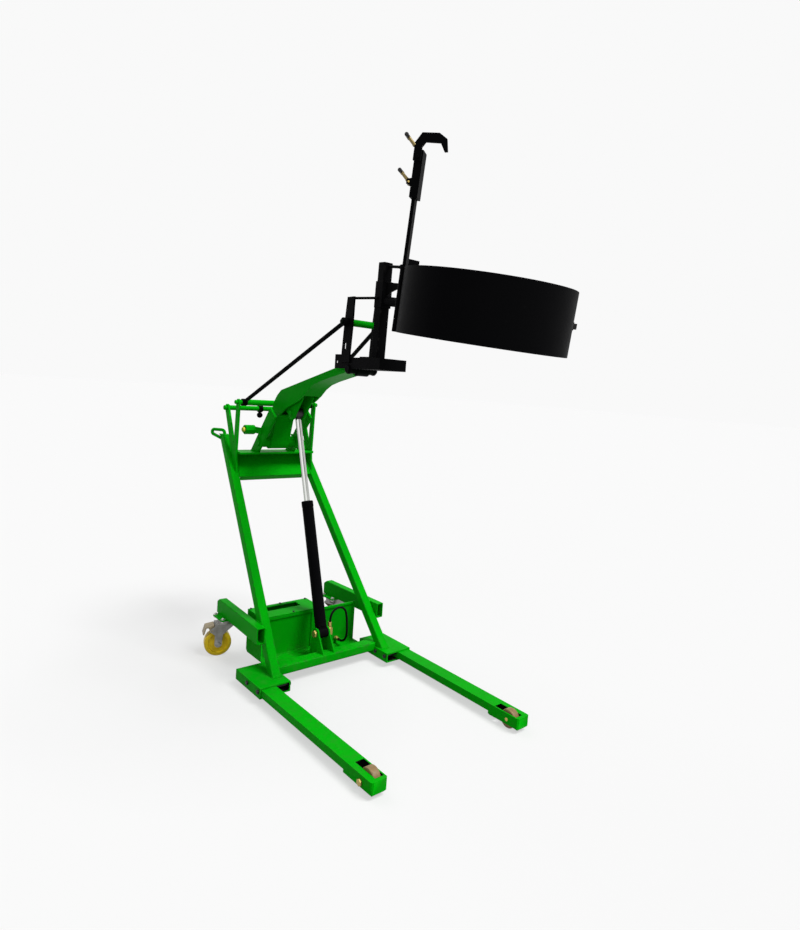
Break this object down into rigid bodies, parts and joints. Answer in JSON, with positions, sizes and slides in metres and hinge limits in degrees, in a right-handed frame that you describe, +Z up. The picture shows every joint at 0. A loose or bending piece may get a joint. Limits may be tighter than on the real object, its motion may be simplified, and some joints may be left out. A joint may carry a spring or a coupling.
{
  "type": "drum stacker",
  "caption": "Walk-behind hydraulic drum stacker: straddle legs, leaning A-frame, cranked boom with levelling rods, and a rotating band clamp with a rim beak for lifting and tipping drums.",
  "frame": {"origin": "on the floor at the middle of the bounding box's base", "axes": "+Z up, -Y towards the clamp end, -X the driver's right"},
  "size_m": [0.8264, 1.9746, 2.1912],
  "materials": {
    "green_paint": "gloss",
    "black_paint": "satin",
    "zinc_plate": "satin",
    "yellow_zinc": "satin",
    "chrome_rod": "polished",
    "black_rubber": "matte",
    "yellow_tread": "satin",
    "tan_roller": "satin",
    "yellow_plastic": "gloss",
    "battery_case": "matte",
    "grey_cast": "satin"
  },
  "bodies": {
    "chassis": {"front_beam": "green_paint", "right_leg_socket": "green_paint", "left_leg_socket": "green_paint", "right_leg": "green_paint", "left_leg": "green_paint", "chassis_bolts": "yellow_zinc", "right_rear_arm": "green_paint", "left_rear_arm": "green_paint", "right_column": "green_paint", "left_column": "green_paint", "top_crossmember": "green_paint", "right_ear": "green_paint", "left_ear": "green_paint", "rear_shaft": "green_paint", "tie_shaft": "green_paint", "boom_cheeks": "green_paint", "boom_pivot_pin": "green_paint", "push_handles": "green_paint", "pump_box": "green_paint", "box_lid": "green_paint", "battery": "battery_case", "power_pack": "grey_cast", "cylinder_foot": "green_paint", "control_body": "green_paint", "hose_port": "yellow_zinc", "hydraulic_hose": "black_rubber", "caster_plates": "green_paint"},
    "boom": {"boom_arm": "green_paint"},
    "head": {"head_bracket": "black_paint", "head_column": "black_paint", "head_uprights": "black_paint", "pivot_housing": "black_paint", "head_pin": "black_paint", "link_shaft": "green_paint"},
    "tie_rods": {"right_tie_rod": "black_paint", "left_tie_rod": "black_paint"},
    "barrel": {"cylinder_barrel": "black_paint", "cylinder_gland": "black_paint"},
    "rod": {"piston_rod": "chrome_rod"},
    "clamp": {"clamp_hub": "black_paint", "clamp_saddle": "black_paint", "saddle_liner": "black_rubber"},
    "lock_pin": {"lock_pin": "black_paint"},
    "gate": {"gate_jaw": "black_paint", "gate_liner": "black_rubber"},
    "latch_lever": {"latch_lever": "zinc_plate"},
    "latch_hook": {"latch_hook": "zinc_plate"},
    "carriage": {"rim_carriage": "black_paint"},
    "beak": {"rim_beak": "black_paint"},
    "rim_lock": {"rim_lock_lever": "yellow_zinc"},
    "button": {"control_button": "yellow_plastic"},
    "lowering_lever": {"lowering_lever": "black_paint"},
    "right_roller": {"right_roller": "tan_roller"},
    "right_caster": {"right_caster_fork": "zinc_plate"},
    "right_wheel": {"right_caster_wheel": "yellow_tread"},
    "right_brake": {"right_caster_brake": "zinc_plate"},
    "left_roller": {"left_roller": "tan_roller"},
    "left_caster": {"left_caster_fork": "zinc_plate"},
    "left_wheel": {"left_caster_wheel": "yellow_tread"},
    "left_brake": {"left_caster_brake": "zinc_plate"}
  },
  "joints": [
    {"name": "boom_lift", "type": "hinge", "parent": "chassis", "child": "boom", "pos_m": [0, 0.759, 1.013], "axis": [-1, 0, 0], "range_deg": [-65, 0]},
    {"name": "head_level", "type": "hinge", "parent": "boom", "child": "head", "pos_m": [0, 0.05, 1.402], "axis": [-1, 0, 0], "range_deg": [0, 65]},
    {"name": "tie_swing", "type": "hinge", "parent": "chassis", "child": "tie_rods", "pos_m": [0, 0.773, 1.209], "axis": [-1, 0, 0], "range_deg": [-65, 0]},
    {"name": "cylinder_swing", "type": "hinge", "parent": "chassis", "child": "barrel", "pos_m": [0, 0.24, 0.167], "axis": [-1, 0, 0], "range_deg": [0, 1.6]},
    {"name": "rod_extend", "type": "slide", "parent": "barrel", "child": "rod", "axis": [0, 0.3092, 0.951], "range_m": [-0.264, 0]},
    {"name": "clamp_rotate", "type": "hinge", "parent": "head", "child": "clamp", "pos_m": [0, -0.669, 1.617], "axis": [0, 0.9925, 0.1219], "range_deg": [-110, 110]},
    {"name": "lock_pin_pull", "type": "slide", "parent": "head", "child": "lock_pin", "axis": [0, 0.9925, 0.1219], "range_m": [0, 0.02], "stiffness_N_per_m": 400, "springref_m": -0.01},
    {"name": "gate_open", "type": "hinge", "parent": "clamp", "child": "gate", "pos_m": [-0.24074, -0.48232, 1.63992], "axis": [0, 0.1219, -0.9925], "range_deg": [0, 80]},
    {"name": "latch_swing", "type": "hinge", "parent": "clamp", "child": "latch_lever", "pos_m": [0.2864, -0.79556, 1.60146], "axis": [0, 0.1219, -0.9925], "range_deg": [0, 130]},
    {"name": "hook_swing", "type": "hinge", "parent": "latch_lever", "child": "latch_hook", "pos_m": [0.29138, -0.7869, 1.60252], "axis": [0, 0.1219, -0.9925], "range_deg": [-130, 0]},
    {"name": "rim_slide", "type": "slide", "parent": "clamp", "child": "carriage", "axis": [0, -0.1219, 0.9925], "range_m": [-0.1, 0.03]},
    {"name": "beak_lift", "type": "hinge", "parent": "carriage", "child": "beak", "pos_m": [-0.19446, -0.48842, 2.11673], "axis": [-0.7771, -0.6246, -0.0767], "range_deg": [0, 50]},
    {"name": "rim_lock_swing", "type": "hinge", "parent": "carriage", "child": "rim_lock", "pos_m": [-0.20956, -0.46064, 2.04357], "axis": [-0.7771, -0.6246, -0.0767], "range_deg": [0, 60]},
    {"name": "button_press", "type": "slide", "parent": "chassis", "child": "button", "axis": [1, 0, 0], "range_m": [0, 0.005], "stiffness_N_per_m": 600, "springref_m": -0.003},
    {"name": "lowering_swing", "type": "hinge", "parent": "chassis", "child": "lowering_lever", "pos_m": [-0.035, 0.897, 1.173], "axis": [1, 0, 0], "range_deg": [-25, 25]},
    {"name": "right_roller_spin", "type": "hinge", "parent": "chassis", "child": "right_roller", "pos_m": [-0.3495, -0.64, 0.038], "axis": [1, 0, 0], "continuous": true},
    {"name": "right_caster_swivel", "type": "hinge", "parent": "chassis", "child": "right_caster", "pos_m": [-0.30564, 0.612, 0.17], "axis": [0, 0, 1], "continuous": true},
    {"name": "right_wheel_spin", "type": "hinge", "parent": "right_caster", "child": "right_wheel", "pos_m": [-0.33797, 0.62251, 0.0625], "axis": [0.309, 0.9511, 0], "continuous": true},
    {"name": "right_brake_press", "type": "hinge", "parent": "right_caster", "child": "right_brake", "pos_m": [-0.3646, 0.63116, 0.128], "axis": [-0.309, -0.9511, 0], "range_deg": [0, 12]},
    {"name": "left_roller_spin", "type": "hinge", "parent": "chassis", "child": "left_roller", "pos_m": [0.3495, -0.64, 0.038], "axis": [1, 0, 0], "continuous": true},
    {"name": "left_caster_swivel", "type": "hinge", "parent": "chassis", "child": "left_caster", "pos_m": [0.30564, 0.612, 0.17], "axis": [0, 0, 1], "continuous": true},
    {"name": "left_wheel_spin", "type": "hinge", "parent": "left_caster", "child": "left_wheel", "pos_m": [0.33797, 0.62251, 0.0625], "axis": [0.309, -0.9511, 0], "continuous": true},
    {"name": "left_brake_press", "type": "hinge", "parent": "left_caster", "child": "left_brake", "pos_m": [0.3646, 0.63116, 0.128], "axis": [-0.309, 0.9511, 0], "range_deg": [0, 12]}
  ],
  "couplings": [
    {"joint": "head_level", "follows": "boom_lift", "ratio": -1},
    {"joint": "tie_swing", "follows": "boom_lift", "ratio": 1},
    {"joint": "cylinder_swing", "follows": "boom_lift", "ratio": -0.024615},
    {"joint": "rod_extend", "follows": "boom_lift", "m_per_rad": 0.23271},
    {"joint": "hook_swing", "follows": "latch_swing", "ratio": -1}
  ]
}
